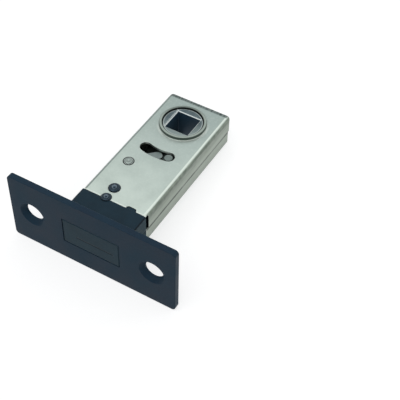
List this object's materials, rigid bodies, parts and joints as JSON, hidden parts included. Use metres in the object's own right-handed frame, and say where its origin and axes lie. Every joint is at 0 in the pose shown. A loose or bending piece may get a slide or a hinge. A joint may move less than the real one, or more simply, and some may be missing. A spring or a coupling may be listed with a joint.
{
  "type": "tubular door latch",
  "caption": "Tubular door latch with a flush rectangular bolt, black forend and bolt guide, zinc-plated pressed case and a sprung square-spindle follower that draws the bolt through a lever.",
  "frame": {"origin": "centre of the forend's front face", "axes": "+X along the forend's length, to the right seen from the front; +Y into the door, along the case; +Z square to the case's broad faces, along the spindle"},
  "size_m": [0.057, 0.0631, 0.025],
  "materials": {
    "black_forend": "satin",
    "black_guide": "satin",
    "black_bolt": "satin",
    "zinc_shell": "satin",
    "cast_follower": "satin",
    "plain_steel": "polished",
    "spring_steel": "polished",
    "magnet_nickel": "polished"
  },
  "bodies": {
    "case": {"forend": "black_forend", "guide_upper": "black_guide", "guide_lower": "black_guide", "upper_shell": "zinc_shell", "lower_shell": "zinc_shell", "lever_rivet": "plain_steel", "pivot_sleeve": "plain_steel", "lever_washer": "plain_steel", "lever_spring": "spring_steel", "bolt_spring": "spring_steel", "follower_spring": "spring_steel"},
    "bolt": {"bolt_head": "black_bolt", "bolt_tail": "plain_steel", "bolt_pin": "plain_steel", "magnet_left": "magnet_nickel", "magnet_right": "magnet_nickel"},
    "follower": {"follower": "cast_follower", "drive_pin": "plain_steel"},
    "lever": {"lever": "plain_steel", "lever_post": "plain_steel"}
  },
  "joints": [
    {"name": "bolt_slide", "type": "slide", "parent": "case", "child": "bolt", "axis": [0, -1, 0], "range_m": [0, 0.0075], "stiffness_N_per_m": 220, "springref_m": -0.002, "deforming": ["bolt_spring"]},
    {"name": "follower_turn", "type": "hinge", "parent": "case", "child": "follower", "pos_m": [0, 0.05155, 0], "axis": [0, 0, -1], "range_deg": [0, 31], "stiffness_Nm_per_rad": 0.15, "springref_deg": -20.05, "deforming": ["follower_spring"]},
    {"name": "lever_turn", "type": "hinge", "parent": "case", "child": "lever", "pos_m": [-0.0056, 0.0289, 0], "axis": [0, 0, 1], "range_deg": [0, 48.1], "stiffness_Nm_per_rad": 0.014, "springref_deg": -17.19, "deforming": ["lever_spring"]}
  ],
  "couplings": [
    {"joint": "lever_turn", "follows": "follower_turn", "ratio": 1.55}
  ]
}
